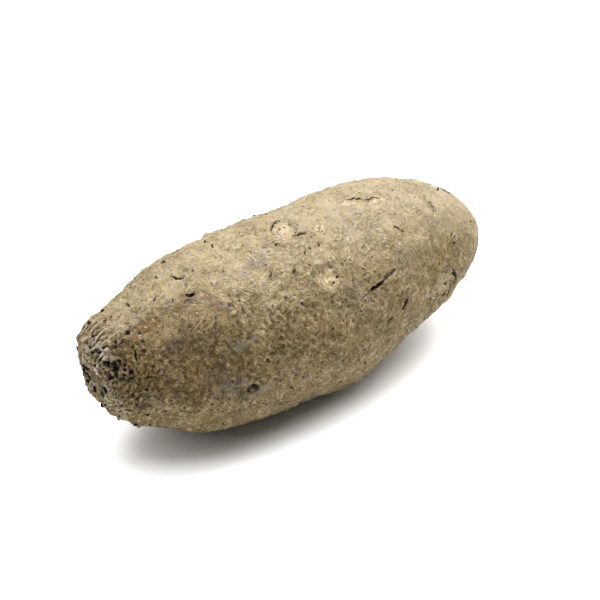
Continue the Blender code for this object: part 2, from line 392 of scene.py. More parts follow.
# Pockets of the end face, painted black as their shade: place across, height above the floor, radius, depth
CROWN_POCKETS = (
    (-0.0044, 0.0719, 0.0015, 0.0022),
    (-0.0071, 0.0721, 0.0018, 0.0024),
    (-0.0114, 0.0718, 0.0026, 0.0028),
    (-0.0123, 0.0752, 0.0013, 0.0018),
    (-0.0129, 0.0684, 0.0016, 0.0020),
    (-0.0100, 0.0666, 0.0017, 0.0022),
    (-0.0153, 0.0736, 0.0012, 0.0018),
    (-0.0193, 0.0668, 0.0020, 0.0010),
    (-0.0167, 0.0663, 0.0012, 0.0010),
    (0.0088, 0.0655, 0.0024, 0.0028),
    (0.0100, 0.0610, 0.0032, 0.0034),
    (0.0085, 0.0570, 0.0022, 0.0028),
    (0.0037, 0.0520, 0.0015, 0.0024),
    (0.0020, 0.0505, 0.0014, 0.0022),
    (-0.0043, 0.0469, 0.0013, 0.0022),
    (-0.0076, 0.0461, 0.0013, 0.0022),
    (-0.0128, 0.0459, 0.0011, 0.0014),
    (-0.0108, 0.0549, 0.0015, 0.0014),
    (-0.0212, 0.0581, 0.0013, 0.0010),
    (0.0077, 0.0878, 0.0013, 0.0014),
    (0.0086, 0.0811, 0.0012, 0.0014),
    (0.0054, 0.0806, 0.0011, 0.0014),
    (0.0021, 0.0761, 0.0013, 0.0012),
    (-0.0078, 0.0807, 0.0012, 0.0012),
    (-0.0094, 0.0844, 0.0012, 0.0012),
    (0.0170, 0.0520, 0.0022, 0.0020),
    (0.0200, 0.0640, 0.0016, 0.0016),
)
# Where the end face falls in: place across, height above the floor, radius, depth
CROWN_DENTS = ((0.0100, 0.0560, 0.0140, 0.0020), (0.0060, 0.0480, 0.0250, 0.0034))
dents = [(crown_at(across, height), size, depth) for across, height, size, depth in CROWN_DENTS]
CROWN_EYE = crown_at(-0.0100, 0.0690)  # where the vine grew, the middle of the rings
pockets = [(crown_at(across, height), size, depth) for across, height, size, depth in CROWN_POCKETS]
# Small holes between the pockets
CROWN_HOLE_SEED = 5
CROWN_HOLE_COUNT = 150
CROWN_HOLE_MIDDLE = (-0.003, 0.064)
CROWN_HOLE_SPREAD = 0.017
CROWN_HOLE_RADIUS = (0.0005, 0.0013)
CROWN_HOLE_DEPTH = (0.0007, 0.0018)
hole_draw = random.Random(CROWN_HOLE_SEED)
for _ in range(CROWN_HOLE_COUNT):
    across, height = (hole_draw.gauss(middle, CROWN_HOLE_SPREAD) for middle in CROWN_HOLE_MIDDLE)
    middle = crown_at(across, height)
    size, depth = hole_draw.uniform(*CROWN_HOLE_RADIUS), hole_draw.uniform(*CROWN_HOLE_DEPTH)
    if middle:
        pockets.append((middle, size, depth))
pocket_tree = finder(pockets)

# Fine folds of the skin: (wave, height) of its ridges, coarse to fine
RIPPLES = ((0.0110, 0.00050), (0.0052, 0.00044))
WRINKLES = ((0.0080, 0.00050), (0.0040, 0.00046))
WRINKLE_PATCH_WAVE = 0.030
STREAK_WAVE = (0.016, 0.0026)
STREAK_HEIGHT = 0.00022
STREAKED_FROM = (0.45, 0.7)  # share of the length where streaks begin, and where they stand full
STREAKED_ROUND = (-105, 55)  # degrees round of their middle, and how far they reach from it
TIP_CALM = 0.55  # how much lower the finer bumps and folds are towards the tip


def crown_relief(point):
    """Height, how much of the crown's cork is here, the painted shade of pockets and gaps, how near a ring's
    crest.
    """
    spread = (point - CROWN_POLE).length + CROWN_EDGE_WAVER * noise.noise(point / CROWN_EDGE_WAVE)
    reach = 1 - smooth_rise(spread, *CROWN_FADE)
    if reach == 0:
        return 0.0, 0.0, 0.0, 0.0
    distance = (point - CROWN_EYE).length
    warp = CROWN_WARP * noise.noise(point / CROWN_WARP_WAVE)
    fold = abs(math.sin(math.pi * (distance + warp) / CROWN_RING_WAVE))
    knob = min(1.0, 2.6 * abs(noise.noise(point / CROWN_KNOB_WAVE)))
    bead = noise.noise(point / CROWN_BEAD_WAVE + Vector((2, 9, 4)))
    torn = smooth_rise(noise.noise(point / CROWN_TEAR_WAVE), *CROWN_TORN)
    dashes = smooth_rise(noise.noise(point / CROWN_DASH_WAVE + Vector((5, 5, 1))), *CROWN_DASHED)
    ringed = 0.2 + 0.8 * smooth_rise(point.y, *CROWN_RINGED_SIDE)
    ringed *= smooth_rise(distance, *CROWN_RINGED_FROM)
    ring_gap = (1 - smooth_rise(fold, *CROWN_RING_GAP)) * dashes * max(0.6 * torn, ringed)
    knob_gap = (1 - smooth_rise(knob, *CROWN_KNOB_GAP)) * dashes * (1 - torn) * (1 - ringed)
    gap = max(ring_gap, 0.8 * knob_gap)
    hole = 0.0
    waver, waver_wave = CROWN_POCKET_WAVER
    for _, index, away in pocket_tree.find_range(point, CROWN_POCKET_REACH):
        _, size, depth = pockets[index]
        wavering = 0.88 * away / size * (1 + waver * noise.noise(point / waver_wave))
        hole = max(hole, mound(wavering) ** 0.5 * depth / CROWN_POCKET_DEPTH)
    height = CROWN_RING_HEIGHT * (0.5 + ringed) * (fold - 0.6)
    height += CROWN_KNOB_HEIGHT * (knob - 0.45) * (0.6 + 0.4 * torn) * (1 - 0.6 * ringed)
    height -= sum(depth * mound((point - middle).length / size) for middle, size, depth in dents)
    height += CROWN_BEAD_HEIGHT * bead - CROWN_GAP_DEPTH * gap - CROWN_POCKET_DEPTH * hole
    crest = ringed * smooth_rise(fold, *CROWN_CREST)
    black = max(min(1.0, 2.0 * hole), gap * smooth_rise(reach, 0.1, 0.6))
    return height * reach, reach, black, crest * reach


def pit_relief(point):
    """Height of the pits and craters here, and their painted shade, darker the deeper they are."""
    height, dark = 0.0, 0.0
    waver = 1 + EDGE_WAVER * noise.noise(point / EDGE_WAVER_WAVE)
    for _, index, distance in pit_tree.find_range(point, PIT_REACH):
        _, size, depth = pits[index]
        reach = distance / size * waver
        rim = mound(abs(reach - PIT_RIM[0]) / PIT_RIM[1])
        height += depth * (PIT_RIM_HEIGHT * rim - mound(reach))
        dark = max(dark, mound(reach) * depth / PIT_BLACK_DEPTH)
    return height, dark


def bump_relief(point, calm):
    """Height and paleness of the warts, pimples and ringed bumps here; calm is a factor on the pimples."""
    height, pale = 0.0, 0.0
    waver = 1 + EDGE_WAVER * noise.noise(point / EDGE_WAVER_WAVE)
    for _, index, distance in wart_tree.find_range(point, WART_RADIUS[1]):
        _, size, rise = warts[index]
        height = max(height, rise * mound(distance / size))
    for _, index, distance in pimple_tree.find_range(point, PIMPLE_RADIUS[1]):
        _, size, rise = pimples[index]
        swell = mound(distance / size * (2 - waver))
        if index % DIMPLED_PIMPLES == 0:
            swell -= DIMPLE[0] * mound(DIMPLE[1] * distance / size)
        height += rise * swell * calm
        pale = max(pale, PIMPLE_PALENESS * swell * calm * rise / PIMPLE_HEIGHT[1])
    for _, index, distance in ring_tree.find_range(point, PIT_REACH):
        _, size, rise = rings[index]
        ridge = mound(abs(distance / size - RING_RIDGE[0]) / RING_RIDGE[1])
        height += rise * ridge
        pale = max(pale, RING_PALENESS * ridge)
    return height, pale


SCAR_RAGGED = ((0.16, 0.0042), (0.10, 0.0019))  # a scar's outline strays by this share, over this distance
SCAR_FLOOR = (0.78, 1.02)  # where the floor starts to rise and where it ends, as shares of the half sizes
SCAR_PALE = (0.5, 1.06)  # and where its paleness fades
SCAR_RIM = (1.12, 0.30)  # where the rim stands and how wide it is
SCAR_EDGE = (0.98, 0.14)  # where the dark edge lies and how wide it is
SCAR_FLOOR_WAVE = 0.0023
SCAR_FLOOR_RISE = 1.6  # height of the floor's lumps, of its depth
SCAR_EDGE_DARK = 0.45
SCAR_FLECK_DARK = 0.52
SCAR_FLECK_WAVE = 0.0019
CRACK_WAVER = (0.3, 0.0016)  # a crack's edges waver by this share, over this distance
CRACK_SHALLOW = 0.001  # cracks less deep than this are dark only in places
CRACK_DARK_WAVE = 0.0015
# Painted shade: a crack darkens with its depth, black at this depth
CRACK_BLACK_DEPTH = 0.0022
CRACK_LIP = (2.2, 1.3, 0.00025)  # where a crack's lip stands and how wide, in its half widths, and its height


def wound_relief(point, normal):
    """Height, darkness and paleness of scars and cracks here, and the scar's name; cracks get painted shade.
    """
    height, dark, pale, inside = 0.0, 0.0, 0.0, None
    for name, (_, _, half_length, half_width, turn, depth, rim) in SCARS.items():
        offset = point - scar_middles[name]
        if offset.length > 2.2 * max(half_length, half_width):
            continue
        sideways = normal.cross(Vector((1, 0, 0))).normalized()
        along, across = offset.x, offset.dot(sideways)
        c, s = math.cos(math.radians(turn)), math.sin(math.radians(turn))
        distance = math.hypot((along * c + across * s) / half_length, (across * c - along * s) / half_width)
        distance += sum(stray * noise.noise(point / wave) for stray, wave in SCAR_RAGGED)
        floor = 1 - smooth_rise(distance, *SCAR_FLOOR)
        height += rim * mound(abs(distance - SCAR_RIM[0]) / SCAR_RIM[1]) - depth * floor
        height += floor * depth * SCAR_FLOOR_RISE * noise.noise(point / SCAR_FLOOR_WAVE)
        if floor > 0.2:
            inside = name
        pale = max(pale, 1 - smooth_rise(distance, *SCAR_PALE))
        edge = mound(abs(distance - SCAR_EDGE[0]) / SCAR_EDGE[1])
        broken = max(0.0, 0.2 + 1.6 * noise.noise(point / 0.003))
        flecks = smooth_rise(noise.noise(point / SCAR_FLECK_WAVE + Vector((6, 1, 2))), 0.22, 0.6)
        dark = max(dark, SCAR_EDGE_DARK * edge * broken, SCAR_FLECK_DARK * floor * flecks)
    for name, (half_width, depth, _) in CRACKS.items():
        if (point - crack_lines[name][0]).length > CRACK_REACH:
            continue
        distance, along = nearest_on(crack_lines[name], point)
        if distance > 4 * half_width:
            continue
        open_here = half_width * (0.35 + 0.65 * math.sin(math.pi * along) ** 0.6)
        waver, waver_wave = CRACK_WAVER
        wander = distance * (1 + waver * noise.noise(point / waver_wave))
        cut = 1 - smooth_rise(wander, open_here * 0.5, open_here * 1.5)
        lip_place, lip_width, lip_height = CRACK_LIP
        lip = mound(abs(wander - lip_place * open_here) / (lip_width * open_here))
        height += lip_height * lip - depth * cut
        broken = 0.8 + 0.6 * noise.noise(point / CRACK_DARK_WAVE) if depth < CRACK_SHALLOW else 1.0
        dark = max(dark, cut * broken * min(1.0, 0.25 + depth / CRACK_BLACK_DEPTH))
    return height, dark, pale, inside


def fold_relief(point, share, around, calm):
    """Ripples, net-like wrinkles in patches, and lengthwise streaks low on the front."""
    height = sum(rise * noise.noise(point / wave) for wave, rise in RIPPLES)
    height += sum(rise * mound((point - middle).length / size) for middle, size, rise in swells)
    patch = calm * (0.45 + 1.1 * max(0.0, 0.35 + noise.noise(point / WRINKLE_PATCH_WAVE)))
    for wave, rise in WRINKLES:
        height += rise * patch * (0.55 - 2.2 * abs(noise.noise(point / wave + Vector((3, 8, 1)))))
    streaked = smooth_rise(share, *STREAKED_FROM) * mound((around - STREAKED_ROUND[0]) / STREAKED_ROUND[1])
    if streaked > 0:
        stretched = Vector((point.x / STREAK_WAVE[0], point.y / STREAK_WAVE[1], point.z / STREAK_WAVE[1]))
        height += STREAK_HEIGHT * streaked * noise.noise(stretched)
    return height


crown_layer = skin.verts.layers.float.new("crown")
dark_layer = skin.verts.layers.float.new("dark")
pale_layer = skin.verts.layers.float.new("pale")
hollow_shade_layer = skin.verts.layers.float.new("hollow_shade")
wound_layer = skin.verts.layers.float.new("wound")
violet_layer = skin.verts.layers.float.new("violet")
red_layer = skin.verts.layers.float.new("red")
dust_and_toplight_layer = skin.verts.layers.float.new("dust_and_toplight")
crest_layer = skin.verts.layers.float.new("crest")
tipward_underlit_layer = skin.verts.layers.float.new("tipward")
# Pale soil dust and painted top light: both lie on skin that faces up, and more of them towards the tip
DUST_AND_TOPLIGHT_FACING = (0.40, 0.22, 0.98)  # how far up skin faces at the crown, at the tip, and where dust and painted top light lie thickest
TIPWARD_SHARES = (0.12, 0.72)
DUST_AND_TOPLIGHT_TIP = (0.80, 0.97)
DUST_AND_TOPLIGHT_AMOUNT = (0.71, 0.13, 0.52)  # at the crown, more of it towards the tip, and on the tip itself

# Tinted patches: share, degrees round, half length, half width
VIOLET_PATCHES = (
    (0.335, -22, 0.0110, 0.0034),
    (0.300, -26, 0.0080, 0.0030),
    (0.142, -16, 0.0034, 0.0026),
    (0.168, -23, 0.0034, 0.0026),
    (0.194, -27.7, 0.0030, 0.0022),
    (0.154, -26.8, 0.0030, 0.0026),
    (0.229, -40, 0.0026, 0.0022),
    (0.058, -15, 0.0030, 0.0024),
    (0.231, -96, 0.0045, 0.0038),
    (0.110, -45, 0.0070, 0.0030),
    (0.190, -89, 0.0130, 0.0056),
    (0.160, -77, 0.0100, 0.0050),
    (0.238, -98, 0.0100, 0.0046),
    (0.220, -64, 0.0110, 0.0044),
    (0.340, 70, 0.0120, 0.0050),
    (0.600, 120, 0.0100, 0.0045),
)
RED_PATCHES = (
    (0.082, -21, 0.0095, 0.0042),
    (0.385, -58, 0.0030, 0.0016),
    (0.463, -50, 0.0030, 0.0030),
    (0.036, -54, 0.0030, 0.0022),
    (0.540, 96, 0.0080, 0.0040),
)

# Soil stains the front of the crown's half: degrees where it begins and ends, and the share where it ends
STAIN_UPPER = (0, 26)
STAIN_LOWER = (82, 112)
STAIN_ENDS = (0.10, 0.33)
UNDERSIDE_BOUNCE_LIGHT = (-0.25, 0.30)  # painted bounce light: how far down skin faces where it is lightened as much as at the tip


def dust_and_toplight_on(share, normal):
    """How thickly dust lies on the skin here, with the painted light on its top."""
    tipward = smooth_rise(share, *TIPWARD_SHARES)
    least = DUST_AND_TOPLIGHT_FACING[0] + (DUST_AND_TOPLIGHT_FACING[1] - DUST_AND_TOPLIGHT_FACING[0]) * tipward
    settled, more_tipward, on_tip = DUST_AND_TOPLIGHT_AMOUNT
    lying = smooth_rise(normal.z, least, DUST_AND_TOPLIGHT_FACING[2]) * (settled + more_tipward * tipward)
    return lying + on_tip * smooth_rise(share, *DUST_AND_TOPLIGHT_TIP)


def stain_on(share, around):
    """How deeply soil stains the skin here."""
    between = smooth_rise(-around, *STAIN_UPPER) * (1 - smooth_rise(-around, *STAIN_LOWER))
    return between * (1 - smooth_rise(share, *STAIN_ENDS))


TINT_RAGGED = 0.6
TINT_WAVE = 0.0035
TINT_FADE = (0.3, 1.2)


def tint(point, normal, patches):
    """How strongly the point is tinted by the nearest of these patches."""
    strongest = 0.0
    for middle, half_length, half_width in patches:
        offset = point - middle
        if offset.length < 2 * half_length:
            across = offset.dot(normal.cross(Vector((1, 0, 0))).normalized())
            distance = math.hypot(offset.x / half_length, across / half_width)
            distance += TINT_RAGGED * noise.noise(point / TINT_WAVE)
            strongest = max(strongest, 1 - smooth_rise(distance, *TINT_FADE))
    return strongest


PALE_PATCHES = (
    (0.604, -6.6, 0.0034, 0.0026),
    (0.616, -8.9, 0.0026, 0.0020),
    (0.660, -13.6, 0.0040, 0.0020),
    (0.226, -38, 0.0016, 0.0012),
    (0.203, -83, 0.0016, 0.0012),
    (0.150, -63, 0.0014, 0.0012),
)
PALE_PATCH_STRENGTH = 2.2
CORK_SIDE = (-0.022, -0.004)  # cork shows less on the front of the crown
pale_patches = [(skin_at(share, around), a, b) for share, around, a, b in PALE_PATCHES]
violet_patches = [(skin_at(share, around), a, b) for share, around, a, b in VIOLET_PATCHES]
red_patches = [(skin_at(share, around), a, b) for share, around, a, b in RED_PATCHES]

skin.normal_update()
moves = []
for vertex in skin.verts:
    point, normal = vertex.co, vertex.normal
    share, around = place_of(point)
    crown_height, crown, hole, crest = crown_relief(point)
    pit_height, pit_dark = pit_relief(point)
    tipward = smooth_rise(share, *TIPWARD_SHARES)
    calm = 1 - TIP_CALM * tipward
    bump_height, bump_pale = bump_relief(point, calm)
    wound_height, wound_dark, wound_pale, scar = wound_relief(point, normal)
    height = crown_height + pit_height + bump_height + wound_height - SKIN_SINK
    height += fold_relief(point, share, around, calm)
    rest = smooth_rise(point.z, *REST_FADE)
    moves.append(normal * height * rest)
    vertex[crown_layer] = crown * (0.35 + 0.65 * smooth_rise(point.y, *CORK_SIDE))
    # Painted shade of pockets, pits and cracks, with the scars' dark edges and flecks
    vertex[dark_layer] = max(hole, min(1.0, pit_dark), wound_dark)
    vertex[crest_layer] = crest
    vertex[pale_layer] = max(bump_pale, PALE_PATCH_STRENGTH * tint(point, normal, pale_patches), 0.0)
    vertex[wound_layer] = wound_pale * WOUND_PALENESS.get(scar, 0.0)
    vertex[violet_layer] = tint(point, normal, violet_patches)
    vertex[red_layer] = tint(point, normal, red_patches)
    vertex[dust_and_toplight_layer] = dust_and_toplight_on(share, normal)
    # Painted bounce light from the floor: skin that faces down counts as if at the tip, so it is lighter and
    # less stained
    vertex[tipward_underlit_layer] = tipward + smooth_rise(-normal.z, *UNDERSIDE_BOUNCE_LIGHT) - stain_on(share, around)
for vertex, move in zip(skin.verts, moves):
    vertex.co += move
lowest = min(v.co.z for v in skin.verts)
for vertex in skin.verts:
    pressed = (lowest + REST_FLAT) * (1 - smooth_rise(vertex.co.z, 0, REST_PRESSED))
    vertex.co.z = max(vertex.co.z - pressed, 0.0)
skin.normal_update()
# Painted shade: how far each vertex lies below its neighbours, to darken the hollows and lighten what stands
# out
for vertex in skin.verts:
    edges = vertex.link_edges
    reach = sum(e.calc_length() for e in edges) / len(edges)
    sink = sum((e.other_vert(vertex).co - vertex.co).dot(vertex.normal) for e in edges) / len(edges)
    vertex[hollow_shade_layer] = sink / reach

grown_skin = bvhtree.BVHTree.FromBMesh(skin)
skin_mesh = bpy.data.meshes.new("tuber_skin")
skin.to_mesh(skin_mesh)
skin.free()
skin_mesh.shade_smooth()
tuber_skin = bpy.data.objects.new("tuber_skin", skin_mesh)
bpy.context.scene.collection.objects.link(tuber_skin)


class Tone:
    """A socket of a material: sums and products of tones add its Math nodes."""

    def __init__(self, tree, socket=None):
        self.tree = tree
        self.socket = socket

    def made_by(self, kind, settings, inputs, output=0):
        """Adds a node of this kind, sets it up, fills or links its sockets, and wraps one of its outputs."""
        node = self.tree.nodes.new(kind)
        for name, value in settings.items():
            setattr(node, name, value)
        for key, value in inputs.items():
            if isinstance(value, Tone):
                self.tree.links.new(value.socket, node.inputs[key])
            else:
                node.inputs[key].default_value = value
        return Tone(self.tree, node.outputs[output])

    def maths(self, operation, first, second):
        return self.made_by("ShaderNodeMath", {"operation": operation}, {0: first, 1: second})

    def __add__(self, other):
        return self.maths("ADD", self, other)

    def __radd__(self, other):
        return self.maths("ADD", other, self)

    def __sub__(self, other):
        return self.maths("SUBTRACT", self, other)

    def __rsub__(self, other):
        return self.maths("SUBTRACT", other, self)

    def __mul__(self, other):
        return self.maths("MULTIPLY", self, other)

    def rise(self, low, high):
        """0 below low, 1 above high, smooth between them; falling where high is the lower one."""
        return self.made_by(
            "ShaderNodeMapRange",
            {"interpolation_type": "SMOOTHSTEP"},
            {0: self, 1: min(low, high), 2: max(low, high), 3: float(low > high), 4: float(low <= high)},
        )

    def under(self, colour, other, blend="MIX"):
        """This tone as a mask that lays the other colour over the first."""
        settings = {"data_type": "RGBA", "blend_type": blend}
        return self.made_by("ShaderNodeMix", settings, {0: self, 6: colour, 7: other}, 2)

    def attribute(self, name):
        return self.made_by("ShaderNodeAttribute", {"attribute_name": name}, {}, 2)

    def grain(self, place, scale, detail, roughness=0.5, distortion=0.0):
        """Cloudy noise, its middle near 0.5."""
        inputs = {"Vector": place, "Scale": scale, "Detail": detail, "Roughness": roughness}
        inputs["Distortion"] = distortion
        return self.made_by("ShaderNodeTexNoise", {}, inputs)


def new_finish(name):
    """A material with its Principled shader, and a first tone in its tree to work from."""
    material = bpy.data.materials.new(name)
    material.use_nodes = True
    tree = material.node_tree
    return material, tree, tree.nodes["Principled BSDF"], Tone(tree)


def rgb(red, green, blue):
    return (red, green, blue, 1.0)


SKIN_DEEP = rgb(0.042, 0.027, 0.012)
SKIN_DARK = rgb(0.088, 0.060, 0.022)
SKIN_TAN = rgb(0.242, 0.184, 0.086)
SKIN_PALE = rgb(0.398, 0.334, 0.221)
SKIN_GREY = rgb(0.175, 0.143, 0.098)
SKIN_VIOLET = rgb(0.162, 0.138, 0.131)
SKIN_RUSSET = rgb(0.215, 0.110, 0.046)
SKIN_WOUND = rgb(0.520, 0.425, 0.275)
SKIN_STAINED = rgb(0.70, 0.65, 0.57)
SKIN_PORE = rgb(0.026, 0.016, 0.009)
SKIN_BARE = rgb(0.500, 0.430, 0.310)
SKIN_BLACK = rgb(0.010, 0.007, 0.006)
SKIN_DUST_AND_TOPLIGHT = rgb(0.300, 0.267, 0.213)
CORK_SLATE = rgb(0.056, 0.048, 0.043)
CORK_PALE = rgb(0.550, 0.495, 0.425)
# Clouds with a faint rosy, green or blue cast: how fine they are, and what they multiply the skin's colour by
TINT_CLOUDS = ((150, rgb(1.0, 0.92, 0.89)), (95, rgb(0.96, 0.97, 0.89)), (190, rgb(0.93, 0.95, 0.98)))
# The net of drying cracks: how far it is drawn out of shape, then how fine its two parts and their gaps are
NET_DRIFT = 0.006
NET_PARTS = ((300, 80), (560, 120))
BUMP_DEPTH = 0.0011

finish, tree, shader, tone = new_finish("yam_skin")
place = tone.made_by("ShaderNodeTexCoord", {}, {}, "Object")
crown, dark, pale = (tone.attribute(name) for name in ("crown", "dark", "pale"))
hollow_shade, wound, dust_and_toplight = (tone.attribute(name) for name in ("hollow_shade", "wound", "dust_and_toplight"))
violet, red, tipward = tone.attribute("violet"), tone.attribute("red"), tone.attribute("tipward")
crest = tone.attribute("crest")

region = tone.grain(place, 14, 3)
blotch = tone.grain(place, 70, 4, 0.6)
crinkle = tone.grain(place, 215, 5, 0.66, 0.8)
mottle = tone.grain(place, 520, 4, 0.70)
speckle = tone.grain(place, 1250, 2, 0.6)
hue = tone.grain(place, 52, 5, 0.65)
crease = (tone.grain(place, 170, 3, 0.6, 1.5) - 0.5) * 9
ridge = (1 - crease * crease).rise(0.0, 1.0)

patch = tone.grain(place, 140, 3, 0.5)
tip_side = tipward.rise(0.0, 1.0)
uneven = 1 - tip_side * 0.30
rugged = tone.grain(place, 55, 2).rise(0.36, 0.62) * 0.6 + 0.6
rugged = rugged * (1 - dust_and_toplight * 0.86) * (1.26 - tip_side * 0.36)
# The specks and ridges share the bumps' noise: partly painted light where skin is raised, painted shade where
# low
fine = ((crinkle - 0.5) * 2.7 + (mottle - 0.5) * 2.0 + (speckle - 0.5) * 1.5) * rugged

# Lightness is built up from the region, its blotches and specks, and painted light and shade on what stands
# out or lies deep
lightness = (
    0.19
    + ((region - 0.5) * 0.7 + (blotch - 0.5) * 0.50 + (patch - 0.5) * 0.48) * uneven
    + fine
    + ridge * 0.08
    # lighter towards the tip and darker where stained, with painted bounce light on skin that faces down
    + tone.maths("MAXIMUM", tipward, -0.3) * 0.22
    # painted shade in the hollows, and painted light on what stands out
    - hollow_shade * (1 - dust_and_toplight * 0.5) * 1.6
    + pale * 0.20
    # dust, with painted top light
    + dust_and_toplight * 0.20
)
colour = lightness.rise(-0.30, 0.62).under(SKIN_DARK, SKIN_TAN)
colour = lightness.rise(0.50, 1.15).under(colour, SKIN_PALE)
colour = (hue.rise(0.50, 0.66) * 0.40).under(colour, SKIN_GREY)
colour = (tone.grain(place, 150, 4, 0.7).rise(0.55, 0.67) * 0.45).under(colour, SKIN_VIOLET)
colour = (tone.grain(place, 190, 4, 0.7, 0.6).rise(0.58, 0.70) * 0.50).under(colour, SKIN_RUSSET)
# Dust, with painted top light, pales the skin that faces up
colour = (dust_and_toplight * 0.70 * (fine + 0.5).rise(0.10, 0.75)).under(colour, SKIN_DUST_AND_TOPLIGHT)
colour = (pale.rise(0.75, 1.5) * dust_and_toplight * 0.45).under(colour, SKIN_BARE)
grainy = crinkle.rise(0.35, 0.60)
for scale, cast in TINT_CLOUDS:
    clouds = tone.grain(place, scale, 4, 0.65).rise(0.47, 0.61) * 0.75
    colour = clouds.under(colour, cast, "MULTIPLY")
colour = (violet * grainy * 0.75).under(colour, SKIN_VIOLET)
colour = (red * grainy * 0.90).under(colour, SKIN_RUSSET)
colour = tipward.rise(0.0, -1.0).under(colour, SKIN_STAINED, "MULTIPLY")
wound_grain = lightness.rise(-0.35, 0.60).under(SKIN_TAN, SKIN_WOUND)
colour = (wound * 0.95).under(colour, wound_grain)

# Fine cracks of the drying skin, a net drawn out of shape by the growth under it
drift = tone.made_by("ShaderNodeTexNoise", {}, {"Vector": place, "Scale": 170, "Detail": 3}, 1)
drawn = tone.made_by(
    "ShaderNodeVectorMath", {"operation": "MULTIPLY_ADD"}, {0: drift, 1: (NET_DRIFT,) * 3, 2: place}
)
net_parts = []
for scale, gap_scale in NET_PARTS:
    edge = tone.made_by(
        "ShaderNodeTexVoronoi", {"feature": "DISTANCE_TO_EDGE"}, {"Vector": drawn, "Scale": scale}
    )
    net_parts.append(edge.rise(0.10, 0.02) * tone.grain(place, gap_scale, 3).rise(0.44, 0.58))
net = net_parts[0] + net_parts[1] * 0.7
colour = (net * (0.46 - dust_and_toplight * 0.24)).under(colour, SKIN_DEEP)

# Small round pits that the mesh is too coarse to hold, painted dark as their shade
cells = tone.made_by("ShaderNodeTexVoronoi", {}, {"Vector": place, "Scale": 330, "Randomness": 1.0})
cell_pick = Tone(tree, cells.socket.node.outputs["Color"])
picked = tone.made_by("ShaderNodeSeparateColor", {}, {0: cell_pick}).rise(0.70, 0.74)
pinhole = (cells + (speckle - 0.5) * 0.35).rise(0.27, 0.15) * picked
colour = (pinhole * (0.90 - dust_and_toplight * 0.62)).under(colour, SKIN_PORE)
colour = (tone.grain(place, 700, 3, 0.65).rise(0.58, 0.66) * (0.58 - dust_and_toplight * 0.46)).under(colour, SKIN_DEEP)
# Painted shade deepens the hollows further
colour = (hollow_shade.rise(0.10, 0.36) * (1 - dust_and_toplight * 0.5) * 0.65).under(colour, SKIN_DEEP)

# The crown's cork, slate between its rings and pale on their crests, and the painted shade of pockets, pits
# and cracks
cork = (mottle + crest * 0.14).rise(0.38, 0.58).under(CORK_SLATE, CORK_PALE)
cork = (hue.rise(0.44, 0.56) * 0.6).under(cork, SKIN_TAN)
corky = crown.rise(0.35, 1.0) * tone.grain(place, 110, 4, 0.65).rise(0.38, 0.60)
colour = (corky * 0.88).under(colour, cork)
# Painted shade of pockets, pits and cracks, a violet cast at its edge in places, black where they are deep
colour = (dark.rise(0.04, 0.20) * blotch.rise(0.46, 0.54) * 0.40).under(colour, SKIN_VIOLET)
colour = (dark.rise(0.12, 0.55) * 0.85).under(colour, SKIN_DEEP)
colour = dark.rise(0.42, 0.80).under(colour, SKIN_BLACK)
tree.links.new(colour.socket, shader.inputs["Base Color"])

roughness = 0.86 + (mottle - 0.5) * 0.25
tree.links.new(roughness.socket, shader.inputs["Roughness"])
shader.inputs["Specular IOR Level"].default_value = 0.10

# Thin plates of old skin end in crisp low steps
plates = tone.grain(place, 105, 3, 0.55).rise(0.50, 0.525) + tone.grain(place, 230, 2, 0.5).rise(0.52, 0.55)
relief = ((crinkle - 0.5) * 2.8 + (mottle - 0.5) * 0.9 + (patch - 0.5) * 1.2) * rugged
relief = relief + (speckle * 0.25 + tone.grain(place, 2800, 2, 0.5) * 0.12) * (1 - dust_and_toplight * 0.6)
relief = relief + plates * (1 - dust_and_toplight * 0.7) * 0.22 + ridge * (1 - dust_and_toplight * 0.5) * 0.20
relief = relief - pinhole * 0.45 - net * 0.30
bump = tone.made_by("ShaderNodeBump", {}, {"Strength": 1.0, "Distance": BUMP_DEPTH, "Height": relief})
tree.links.new(bump.socket, shader.inputs["Normal"])
skin_mesh.materials.append(finish)
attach(tuber_skin, "root")
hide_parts("tuber")

# Scurf: thousands of low scabs and lifted scales of dry cork that roughen the skin. They are the skin's own
# cork, so each is sunk into it, and each has a shade of its own.

SCURF_SEED = 61
SCURF_COUNT = 8000
SCURF_RADIUS = (0.0004, 0.0013)
SCURF_HEIGHT = (0.00015, 0.00050)
SCURF_GATHERING = 0.9
SCURF_CORNERS = 6
SCURF_SINK = 0.00025
SCURF_TOP = 0.74  # the shoulder's radius, as a share of the foot's
SCURF_TOP_HEIGHT = 0.72  # and its height, as a share of the peak's
SCURF_STRETCH = (0.55, 1.0)
SCURF_UNEVEN = (0.72, 1.15)
SCURF_LEAN = 0.5
SCURF_CLEAR = 0.002  # height above the floor that scurf and crumbs keep clear of
SCURF_SHADE = (0.34, 0.66, 0.22)  # how much a draw, dust and painted top light lighten a scab, and stain darkens it
DUSTY_TOPLIT_FLAT = 0.6  # how much lower scabs and folds stand where dust and painted top light lie thickest


def rod(sides, rings):
    """A new bmesh with one capped rod, and the ring and side of each of its corners."""
    bm = bmesh.new()
    bmesh.ops.create_cone(bm, cap_ends=True, segments=sides, radius1=1, radius2=1, depth=rings - 1)
    if rings > 2:
        upright = [e for e in bm.edges if abs(e.verts[0].co.z - e.verts[1].co.z) > 0.5]
        bmesh.ops.subdivide_edges(bm, edges=upright, cuts=rings - 2)
    places = []
    for corner in bm.verts:
        ring = round(corner.co.z + (rings - 1) / 2)
        turn = math.atan2(-corner.co.x, corner.co.y)
        places.append((corner, ring, round(sides * turn / (2 * math.pi)) % sides))
    return bm, places


def let_go(bm):
    """Corners and faces of a small bmesh, which is then freed."""
    bm.verts.index_update()
    corners = [corner.co.copy() for corner in bm.verts]
    faces = [[corner.index for corner in face.verts] for face in bm.faces]
    bm.free()
    return corners, faces


